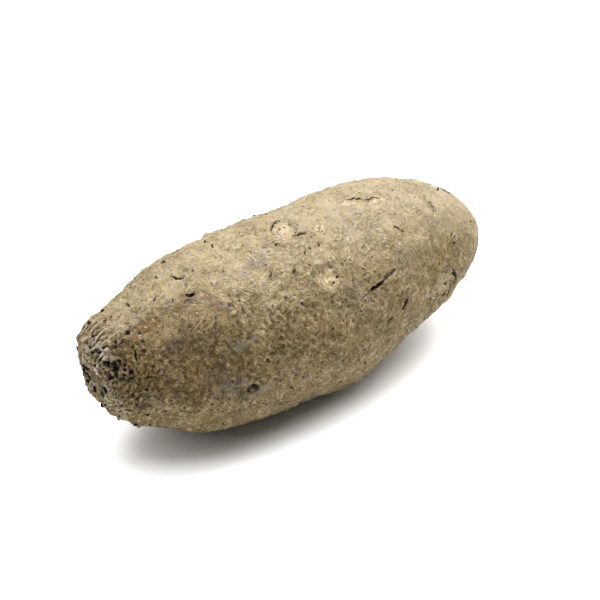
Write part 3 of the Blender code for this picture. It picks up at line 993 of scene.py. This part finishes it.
def scab(draw, point, normal, radius, height, lean=0.0):
    """One low, peaked lump that stands on the skin here, its outline drawn unevenly."""
    level = normal.orthogonal().normalized()
    level.rotate(Quaternion(normal, draw.uniform(0, 2 * math.pi)))
    beside = normal.cross(level)
    stretch = draw.uniform(*SCURF_STRETCH)
    uneven = [draw.uniform(*SCURF_UNEVEN) for _ in range(SCURF_CORNERS)]
    bm, places = rod(SCURF_CORNERS, 2)
    top = max(bm.faces, key=lambda face: face.calc_center_median().z)
    peak = bmesh.ops.poke(bm, faces=[top])["verts"][0]
    peak.co = point + normal * height
    for corner, ring, side in places:
        turn = 2 * math.pi * side / SCURF_CORNERS
        outward = level * math.cos(turn) + beside * math.sin(turn) * stretch
        share = SCURF_TOP if ring else 1.0
        lift = (height * SCURF_TOP_HEIGHT if ring else -SCURF_SINK) * (1 + lean * math.cos(turn))
        corner.co = point + outward * radius * share * uneven[side] + normal * lift
    return let_go(bm)


def gathered_piece(name, lumps, shades):
    """One object out of many lumps, each given its own shade."""
    corners, faces, tones = [], [], []
    for (lump_corners, lump_faces), shade in zip(lumps, shades):
        start = len(corners)
        corners += lump_corners
        faces += [tuple(start + k for k in face) for face in lump_faces]
        tones += [shade] * len(lump_corners)
    mesh = bpy.data.meshes.new(name)
    mesh.from_pydata(corners, [], faces)
    shade_data = mesh.attributes.new("shade", "FLOAT", "POINT")
    shade_data.data.foreach_set("value", tones)
    mesh.shade_smooth()
    piece = bpy.data.objects.new(name, mesh)
    bpy.context.scene.collection.objects.link(piece)
    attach(piece, "root")
    return piece


def on_the_skin(direction):
    """Point and normal of the finished skin in this direction from the middle line."""
    start = Vector((direction.x * CORE_SHARE * LENGTH / 2, 0, MIDDLE_HEIGHT))
    point, normal, _, _ = grown_skin.ray_cast(start + direction * CAST_REACH, -direction)
    return point, normal


def any_direction(draw, gathering):
    """A drawn direction, gathered towards the crown."""
    while True:
        x = draw.uniform(-1, 1)
        turn = draw.uniform(0, 2 * math.pi)
        if draw.random() * (1 + gathering) < 1 + gathering * (1 - x) / 2:
            girth = math.sqrt(1 - x * x)
            return Vector((x, girth * math.sin(turn), girth * math.cos(turn)))


draw = random.Random(SCURF_SEED)
by_draw, by_dusty_toplit, by_stain = SCURF_SHADE
scurf_lumps, scurf_shades = [], []
for _ in range(SCURF_COUNT):
    point, normal = on_the_skin(any_direction(draw, SCURF_GATHERING))
    radius = SCURF_RADIUS[0] + (SCURF_RADIUS[1] - SCURF_RADIUS[0]) * draw.random() ** 2
    dusty_toplit = dust_and_toplight_on(place_of(point)[0], normal)
    height = min(draw.uniform(*SCURF_HEIGHT), 0.6 * radius) * (1 - DUSTY_TOPLIT_FLAT * dusty_toplit)
    lump = scab(draw, point, normal, radius, height, draw.uniform(0, SCURF_LEAN))
    shade = by_draw * draw.random() + by_dusty_toplit * dusty_toplit - by_stain * stain_on(*place_of(point))
    if point.z > SCURF_CLEAR:
        scurf_lumps.append(lump)
        scurf_shades.append(shade)
skin_scurf = gathered_piece("skin_scurf", scurf_lumps, scurf_shades)
scurf_finish, tree, shader, tone = new_finish("yam_scurf")
place = tone.made_by("ShaderNodeTexCoord", {}, {}, "Object")
shade = tone.attribute("shade")
mottle = tone.grain(place, 900, 4, 0.65)
lightness = shade * 0.95 + (mottle - 0.5) * 1.5 + 0.12
colour = lightness.rise(0.05, 0.55).under(SKIN_DARK, SKIN_TAN)
colour = lightness.rise(0.55, 1.20).under(colour, SKIN_PALE)
colour = (mottle.rise(0.45, 0.55) * 0.3).under(colour, SKIN_GREY)
colour = (shade.rise(0.05, 0.02) * 0.8).under(colour, SKIN_DEEP)
tree.links.new(colour.socket, shader.inputs["Base Color"])
shader.inputs["Roughness"].default_value = 0.9
shader.inputs["Specular IOR Level"].default_value = 0.25
bump = tone.made_by("ShaderNodeBump", {}, {"Strength": 0.8, "Distance": 0.0004, "Height": mottle})
tree.links.new(bump.socket, shader.inputs["Normal"])
skin_scurf.data.materials.append(scurf_finish)

# Skin folds: short raised wrinkles that wander over the skin, rings of it round old root scars, and ridges of
# the crown's cork. All grew with the skin and are narrower than its mesh can hold, so each is a low bead that
# is sunk into it.

FOLD_SEED = 97
FOLD_COUNT = 430
FOLD_GATHERING = 1.6
FOLD_STEPS = (4, 13)
FOLD_STEP = 0.0008
FOLD_TURN = 26
FOLD_HALF_WIDTH = (0.00030, 0.00062)
FOLD_HEIGHT = (0.00014, 0.00034)
# Corners across a bead: share of the half width, then of the height, or sunk where that is below 0
FOLD_PROFILE = ((1.0, -0.7), (0.6, 0.6), (0.0, 1.0), (-0.6, 0.6), (-1.0, -0.7))
FOLD_THINNING = 0.7
FOLD_SHADE = (0.02, 0.26)
FOLD_DUSTY_TOPLIT = 0.62  # how much dust and painted top light lighten a fold, and how much the stain darkens it
FOLD_STAINED = 0.2
FOLD_CLEAR = 0.004  # height above the floor that folds and splits keep clear of
PLACED_FOLD_SHADE = 0.55
# Folds that the photograph shows: half width, height and the places that each runs through
PLACED_FOLDS = (
    (0.00060, 0.00050, ((0.242, -28.5), (0.256, -31.0), (0.264, -35.0), (0.272, -39.9))),
    (0.00050, 0.00040, ((0.300, -52.8), (0.327, -49.6), (0.339, -53.6), (0.366, -53.5))),
    (0.00070, 0.00040, ((0.798, -20), (0.799, -26), (0.796, -33), (0.789, -42.4))),
    (0.00055, 0.00035, ((0.834, -65.7), (0.843, -72), (0.854, -78.0))),
    (0.00050, 0.00050, ((0.416, -43.7), (0.415, -47.6), (0.418, -51.7), (0.424, -54))),
    (0.00060, 0.00045, ((0.174, -17.0), (0.182, -18.4), (0.191, -18.6))),
    (0.00045, 0.00040, ((0.146, -44), (0.160, -42), (0.176, -39), (0.190, -36))),
    (0.00055, 0.00035, ((0.604, -7.0), (0.622, -8.5), (0.640, -9.8), (0.664, -13))),
)
# Rings of raised skin: share, degrees round, radius
PLACED_RINGS = (
    (0.498, -18.3, 0.0027),
    (0.518, -28.4, 0.0021),
    (0.555, -40.8, 0.0030),
    (0.511, -44.0, 0.0015),
    (0.599, -50.0, 0.0017),
    (0.184, -18.0, 0.0016),
    (0.818, -57.5, 0.0018),
    (0.360, 60.0, 0.0021),
    (0.700, 95.0, 0.0019),
)
RING_STEPS = 14
RING_HALF_WIDTH = 0.00042
RING_BEAD_HEIGHT = 0.00036
RING_THINNING = 0.3
RING_UNEVEN = 0.12  # how far the rings stray from round
RING_SHADE = 0.80
# Ridges of the crown's cork: half width, height, and the places across and above the floor on the end face
CROWN_FOLDS = (
    (0.00080, 0.00080, (
        (0.0078, 0.0572), (0.0065, 0.0517), (0.0020, 0.0490), (-0.0032, 0.0469), (-0.0100, 0.0457),
        (-0.0163, 0.0453),
    )),
    (0.00060, 0.00060, ((0.0009, 0.0616), (0.0012, 0.0560), (-0.0030, 0.0530), (-0.0083, 0.0517))),
    (0.00070, 0.00070, ((0.0037, 0.0725), (0.0024, 0.0683), (0.0012, 0.0640), (0.0004, 0.0605))),
    (0.00075, 0.00060, ((0.0175, 0.0712), (0.0124, 0.0800), (0.0095, 0.0855), (0.0097, 0.0881))),
    (0.00065, 0.00055, ((0.0079, 0.0742), (0.0045, 0.0810), (0.0026, 0.0856), (0.0012, 0.0884))),
    (0.00055, 0.00050, ((0.0004, 0.0768), (-0.0012, 0.0817), (-0.0039, 0.0858), (-0.0050, 0.0875))),
    (0.00070, 0.00050, ((0.0219, 0.0712), (0.0224, 0.0747), (0.0169, 0.0826))),
)
CROWN_FOLD_SHADE = 0.90
CLOSEST_STEP = 0.0002  # places nearer than this are taken as one


def bead(line, half_width, height, sink, thinning=FOLD_THINNING):
    """A low bead along these (point, normal) places, thinner to its ends."""
    bm, places = rod(len(FOLD_PROFILE), len(line))
    for corner, ring, side in places:
        point, normal = line[ring]
        run = line[min(ring + 1, len(line) - 1)][0] - line[max(ring - 1, 0)][0]
        beside = normal.cross(run).normalized()
        taper = math.sin(math.pi * (ring + 0.35) / (len(line) - 0.3)) ** thinning
        across, rise = FOLD_PROFILE[side]
        lift = height * rise * taper if rise > 0 else -sink
        corner.co = point + beside * half_width * taper * across + normal * lift
    return let_go(bm)


def wandering_line(draw, gathering, steps):
    """A line that starts anywhere on the finished skin and turns a little at each step."""
    point, normal = on_the_skin(any_direction(draw, gathering))
    run = normal.orthogonal().normalized()
    run.rotate(Quaternion(normal, draw.uniform(0, 2 * math.pi)))
    line = [(point, normal)]
    for _ in range(draw.randint(*steps)):
        run.rotate(Quaternion(normal, math.radians(draw.uniform(-FOLD_TURN, FOLD_TURN))))
        point, normal, _, _ = grown_skin.find_nearest(point + run * FOLD_STEP)
        run = (run - normal * run.dot(normal)).normalized()
        line.append((point, normal))
    return line


def placed_line(route):
    """The finished skin's points along a route of places, a fold's step apart."""
    line = []
    for (share, around), (next_share, next_around) in zip(route, route[1:]):
        start, end = skin_at(share, around), skin_at(next_share, next_around)
        steps = max(1, round((end - start).length / FOLD_STEP))
        for k in range(steps):
            point, normal, _, _ = grown_skin.find_nearest(start.lerp(end, k / steps))
            line.append((point, normal))
    return line


def ring_line(share, around, radius):
    """The finished skin's points round a place, this far from it."""
    middle, normal, _, _ = grown_skin.find_nearest(skin_at(share, around))
    level = normal.orthogonal().normalized()
    line = []
    for k in range(RING_STEPS + 1):
        outward = level.copy()
        outward.rotate(Quaternion(normal, 2 * math.pi * k / RING_STEPS))
        uneven = 1 + RING_UNEVEN * math.sin(2 * k)
        line.append(grown_skin.find_nearest(middle + outward * radius * uneven)[:2])
    return line


def crown_line(route):
    """The finished skin's points along a route over the crown's end face."""
    line = []
    for start, end in zip(route, route[1:]):
        steps = max(1, round(math.dist(start, end) / FOLD_STEP))
        for k in range(steps + 1):
            across, height = (a + (b - a) * k / steps for a, b in zip(start, end))
            line.append(grown_skin.ray_cast(Vector((-LENGTH, across, height)), Vector((1, 0, 0)))[:2])
    apart = [k == 0 or (line[k][0] - line[k - 1][0]).length > CLOSEST_STEP for k in range(len(line))]
    return [place for place, wanted in zip(line, apart) if wanted]


draw = random.Random(FOLD_SEED)
fold_lumps, fold_shades = [], []
for half_width, height, route in CROWN_FOLDS:
    fold_lumps.append(bead(crown_line(route), half_width, height, SCURF_SINK))
    fold_shades.append(CROWN_FOLD_SHADE)
for half_width, height, route in PLACED_FOLDS:
    fold_lumps.append(bead(placed_line(route), half_width, height, SCURF_SINK))
    fold_shades.append(PLACED_FOLD_SHADE)
for share, around, radius in PLACED_RINGS:
    line = ring_line(share, around, radius)
    fold_lumps.append(bead(line, RING_HALF_WIDTH, RING_BEAD_HEIGHT, SCURF_SINK, RING_THINNING))
    fold_shades.append(RING_SHADE)
for _ in range(FOLD_COUNT):
    line = wandering_line(draw, FOLD_GATHERING, FOLD_STEPS)
    start, facing = line[0]
    dusty_toplit = dust_and_toplight_on(place_of(start)[0], facing)
    half_width, height = draw.uniform(*FOLD_HALF_WIDTH), draw.uniform(*FOLD_HEIGHT)
    lump = bead(line, half_width, height * (1 - DUSTY_TOPLIT_FLAT * dusty_toplit), SCURF_SINK)
    shade = draw.uniform(*FOLD_SHADE) + FOLD_DUSTY_TOPLIT * dusty_toplit - FOLD_STAINED * stain_on(*place_of(start))
    if start.z > FOLD_CLEAR:
        fold_lumps.append(lump)
        fold_shades.append(shade)
skin_folds = gathered_piece("skin_folds", fold_lumps, fold_shades)
skin_folds.data.materials.append(scurf_finish)

# Crack shade: dark beads along the skin's cracks and slits, and black ones in the crown's gaps and in pockets
# at its edge, that paint the shade inside them. Each is a low bead with its underside in the skin.

BLACK_SHADE_AND_ROOT = -1.0  # a shade below 0 turns root ends and the painted shade of gaps and pockets black
# Black beads that paint the shade in the gaps between the crown's ridges: half width and the places of the
# end face
CROWN_GAPS = (
    (0.00060, ((0.0078, 0.0543), (0.0061, 0.0513))),
    (0.00060, ((0.0048, 0.0532), (0.0015, 0.0506))),
    (0.00065, ((-0.0019, 0.0470), (-0.0068, 0.0457))),
    (0.00045, ((-0.0109, 0.0449), (-0.0143, 0.0460))),
    (0.00040, ((0.0058, 0.0873), (0.0068, 0.0882))),
    (0.00040, ((-0.0100, 0.0840), (-0.0083, 0.0814), (-0.0072, 0.0787))),
)
# Black beads that paint the shade in pockets at the edge of the crown: half width, height and the places of
# the end face
CROWN_POCKET_SHADES = (
    (0.00190, 0.00160, ((0.0185, 0.0600), (0.0168, 0.0592), (0.0150, 0.0582))),
    (0.00220, 0.00180, ((0.0195, 0.0562), (0.0170, 0.0548), (0.0142, 0.0534))),
    (0.00100, 0.00090, ((0.0178, 0.0500), (0.0165, 0.0490))),
    (0.00110, 0.00070, ((0.0114, 0.0492), (0.0104, 0.0478), (0.0096, 0.0464))),
    (0.00130, 0.00100, ((0.0034, 0.0424), (0.0018, 0.0408), (0.0004, 0.0398))),
    (0.00060, 0.00050, ((-0.0054, 0.0388), (-0.0078, 0.0380))),
)
SPLIT_SEED = 53
SPLIT_COUNT = 300
SPLIT_STEPS = (2, 7)
SPLIT_HALF_WIDTH = (0.00014, 0.00034)
SPLIT_HEIGHT = 0.00005
SPLIT_SINK = 0.00010
# Cracks of the skin with a dark bead along their bottoms that paints their shade: half width of the bead
SHADED_CRACKS = {
    "zigzag": 0.00030,
    "scar_tail": 0.00042,
    "scar_brow": 0.00026,
    "tip_slit": 0.00022,
    "flank_edge": 0.00036,
    "flank_low_edge": 0.00036,
    "heel_slit": 0.00030,
    "neck_slit": 0.00034,
    "curl": 0.00026,
    "tip_notch": 0.00036,
    "low_slit": 0.00028,
    "far_slit": 0.00034,
}
SHADE_BEAD_HEIGHT = 0.00022
SHADE_BEAD_THINNING = 0.25
SPLIT_SHADE = 0.5

draw = random.Random(SPLIT_SEED)
split_lumps, split_shades = [], []
for half_width, route in CROWN_GAPS:
    split_lumps.append(bead(crown_line(route), half_width, SHADE_BEAD_HEIGHT, SPLIT_SINK, SHADE_BEAD_THINNING))
    split_shades.append(BLACK_SHADE_AND_ROOT)
for half_width, height, route in CROWN_POCKET_SHADES:
    split_lumps.append(bead(crown_line(route), half_width, height, SCURF_SINK, SHADE_BEAD_THINNING))
    split_shades.append(BLACK_SHADE_AND_ROOT)
for name, half_width in SHADED_CRACKS.items():
    line = placed_line(CRACKS[name][2])
    split_lumps.append(bead(line, half_width, SHADE_BEAD_HEIGHT, SPLIT_SINK, SHADE_BEAD_THINNING))
    split_shades.append(0.0)
for _ in range(SPLIT_COUNT):
    line = wandering_line(draw, FOLD_GATHERING, SPLIT_STEPS)
    lump = bead(line, draw.uniform(*SPLIT_HALF_WIDTH), SPLIT_HEIGHT, SPLIT_SINK)
    shade = draw.uniform(0, SPLIT_SHADE)
    if line[0][0].z > FOLD_CLEAR:
        split_lumps.append(lump)
        split_shades.append(shade)
crack_shade_beads = gathered_piece("crack_shade_beads", split_lumps, split_shades)
soil_and_shade_finish, tree, shader, tone = new_finish("dry_soil_and_crack_shade")
place = tone.made_by("ShaderNodeTexCoord", {}, {}, "Object")
grain = tone.grain(place, 2200, 3, 0.6)
shade = tone.attribute("shade")
# Dark soil for the crumbs, also painted as the shade of cracks and slits, and black below a shade of 0 for
# gaps and pockets
colour = (grain.rise(0.35, 0.65) * 0.4 + shade * 0.6).rise(0.2, 1.0).under(SKIN_DEEP, SKIN_TAN)
colour = shade.rise(-0.2, -0.8).under(colour, SKIN_BLACK)
tree.links.new(colour.socket, shader.inputs["Base Color"])
shader.inputs["Roughness"].default_value = 0.95
shader.inputs["Specular IOR Level"].default_value = 0.10
bump = tone.made_by("ShaderNodeBump", {}, {"Strength": 0.8, "Distance": 0.0003, "Height": grain})
tree.links.new(bump.socket, shader.inputs["Normal"])
crack_shade_beads.data.materials.append(soil_and_shade_finish)

# Root stubs: short, dark, woody ends of the feeder roots that broke off when the tuber was dug, most of them
# at the crown. They grew out of the body, so the foot of each is sunk into the skin.

STUB_SEED = 71
STUB_COUNT = 46
STUB_GATHERING = 14
STUB_RADIUS = (0.0004, 0.0008)
STUB_LENGTH = (0.0007, 0.0021)
STUB_SIDES = 7
STUB_RINGS = ((-0.4, 1.25), (0.0, 1.1), (0.35, 0.95), (0.75, 0.9), (1.0, 0.55))  # shares of length and radius
STUB_LEAN = 0.7
STUB_UNEVEN = (0.85, 1.15)
STUB_CLEAR = 0.006  # height above the floor that root ends keep clear of
# Stubs at set places, most of them on the outline that the photograph shows: place, radius, length
PLACED_STUBS = (
    (0.206, 19.4, 0.0012, 0.0009),
    (0.062, 25.4, 0.0010, 0.0010),
    (0.034, 32.1, 0.0010, 0.0010),
    (0.463, 31.0, 0.0012, 0.0008),
    (0.298, 15.1, 0.0007, 0.0006),
    (0.294, 6.5, 0.0005, 0.0007),
    (0.063, -165, 0.0008, 0.0016),
    (0.067, -139, 0.0007, 0.0013),
    (0.119, -141, 0.0006, 0.0010),
    (0.900, -11, 0.0008, 0.0008),
    (0.857, 13, 0.0006, 0.0007),
)


def stub(draw, point, normal, radius, length):
    """One bent, broken root end."""
    lean = Vector([draw.uniform(-STUB_LEAN, STUB_LEAN) for _ in range(3)])
    level = normal.orthogonal().normalized()
    beside = normal.cross(level)
    uneven = [[draw.uniform(*STUB_UNEVEN) for _ in range(STUB_SIDES)] for _ in STUB_RINGS]
    bm, places = rod(STUB_SIDES, len(STUB_RINGS))
    for corner, ring, side in places:
        share, thick = STUB_RINGS[ring]
        middle = point + normal * length * share + lean * length * max(share, 0) ** 2
        turn = 2 * math.pi * side / STUB_SIDES
        outward = level * math.cos(turn) + beside * math.sin(turn)
        corner.co = middle + outward * radius * thick * uneven[ring][side]
    return let_go(bm)


draw = random.Random(STUB_SEED)
stub_lumps, stub_shades = [], []
for share, around, radius, length in PLACED_STUBS:
    point, normal, _, _ = grown_skin.find_nearest(skin_at(share, around))
    stub_lumps.append(stub(draw, point, normal, radius, length))
    stub_shades.append(BLACK_SHADE_AND_ROOT)
for _ in range(STUB_COUNT):
    point, normal = on_the_skin(any_direction(draw, STUB_GATHERING))
    lump = stub(draw, point, normal, draw.uniform(*STUB_RADIUS), draw.uniform(*STUB_LENGTH))
    shade = draw.random()
    if point.z > STUB_CLEAR:
        stub_lumps.append(lump)
        stub_shades.append(shade)
root_stubs = gathered_piece("root_stubs", stub_lumps, stub_shades)
stub_finish, tree, shader, tone = new_finish("root_stub")
place = tone.made_by("ShaderNodeTexCoord", {}, {}, "Object")
grain = tone.grain(place, 1500, 3, 0.6)
shade = tone.attribute("shade")
colour = (grain.rise(0.35, 0.62) * 0.8 + shade * 0.2).under(SKIN_BLACK, SKIN_DARK)
colour = shade.rise(-0.2, -0.8).under(colour, SKIN_BLACK)
tree.links.new(colour.socket, shader.inputs["Base Color"])
shader.inputs["Roughness"].default_value = 0.85
shader.inputs["Specular IOR Level"].default_value = 0.15
bump = tone.made_by("ShaderNodeBump", {}, {"Strength": 0.8, "Distance": 0.0004, "Height": grain})
tree.links.new(bump.socket, shader.inputs["Normal"])
root_stubs.data.materials.append(stub_finish)

# Soil crumbs: grains of dried soil that still cling to the skin, more of them on the rough crown. Each dried
# in place, so it is sunk a little into the skin.

CRUMB_SEED = 83
CRUMB_COUNT = 420
CRUMB_RADIUS = (0.00025, 0.00070)
CRUMB_GATHERING = 3
CRUMB_HEIGHT = 1.1  # of its radius

draw = random.Random(CRUMB_SEED)
crumb_lumps, crumb_shades = [], []
for _ in range(CRUMB_COUNT):
    point, normal = on_the_skin(any_direction(draw, CRUMB_GATHERING))
    radius = draw.uniform(*CRUMB_RADIUS)
    lump = scab(draw, point, normal, radius, CRUMB_HEIGHT * radius)
    shade = draw.random()
    if point.z > SCURF_CLEAR:
        crumb_lumps.append(lump)
        crumb_shades.append(shade)
soil_crumbs = gathered_piece("soil_crumbs", crumb_lumps, crumb_shades)
soil_crumbs.data.materials.append(soil_and_shade_finish)

# Studio: a plain pale floor under soft light from above and from both ends, and the photograph's point of
# view. None of it belongs to the tuber.

VIEW_YAW = math.radians(41.56)
VIEW_ELEVATION = math.radians(30)
EYE = Vector((-0.3913, -0.4413, 0.3952))
back = Vector((
    -math.sin(VIEW_YAW) * math.cos(VIEW_ELEVATION),
    -math.cos(VIEW_YAW) * math.cos(VIEW_ELEVATION),
    math.sin(VIEW_ELEVATION),
))
camera = bpy.data.objects.new("camera", bpy.data.cameras.new("camera"))
bpy.context.scene.collection.objects.link(camera)
camera.data.lens = 70
camera.data.sensor_width = 36
camera.location = EYE
camera.rotation_mode = "QUATERNION"
camera.rotation_quaternion = (-back).to_track_quat("-Z", "Y")
bpy.context.scene.camera = camera

FLOOR_HALF = 6.0
floor_bm = bmesh.new()
bmesh.ops.create_grid(floor_bm, x_segments=1, y_segments=1, size=FLOOR_HALF)
floor_mesh = bpy.data.meshes.new("floor")
floor_bm.to_mesh(floor_mesh)
floor_bm.free()
floor = bpy.data.objects.new("floor", floor_mesh)
bpy.context.scene.collection.objects.link(floor)
floor_finish, _, floor_shader, _ = new_finish("floor_white")
floor_shader.inputs["Base Color"].default_value = rgb(0.90, 0.90, 0.90)
floor_shader.inputs["Roughness"].default_value = 0.9
floor_mesh.materials.append(floor_finish)


def soft_light(name, toward, size, watts):
    """A square panel that faces the tuber from this place."""
    light = bpy.data.lights.new(name, "AREA")
    light.shape = "SQUARE"
    light.size = size
    light.energy = watts
    lamp = bpy.data.objects.new(name, light)
    lamp.location = toward
    lamp.rotation_mode = "QUATERNION"
    lamp.rotation_quaternion = (Vector(toward) - Vector((0, 0, MIDDLE_HEIGHT))).to_track_quat("Z", "Y")
    bpy.context.scene.collection.objects.link(lamp)


soft_light("key_above", (0.06, 0.06, 1.35), 1.7, 57)
soft_light("side_tip", (1.05, 0.05, 0.80), 0.9, 17)
soft_light("side_crown", (-0.95, 0.10, 0.95), 0.9, 9)
world = bpy.data.worlds.new("studio")
world.use_nodes = True
world.node_tree.nodes["Background"].inputs["Color"].default_value = rgb(1, 1, 1)
world.node_tree.nodes["Background"].inputs["Strength"].default_value = 0.16
bpy.context.scene.world = world
bpy.context.scene.view_settings.view_transform = "Standard"
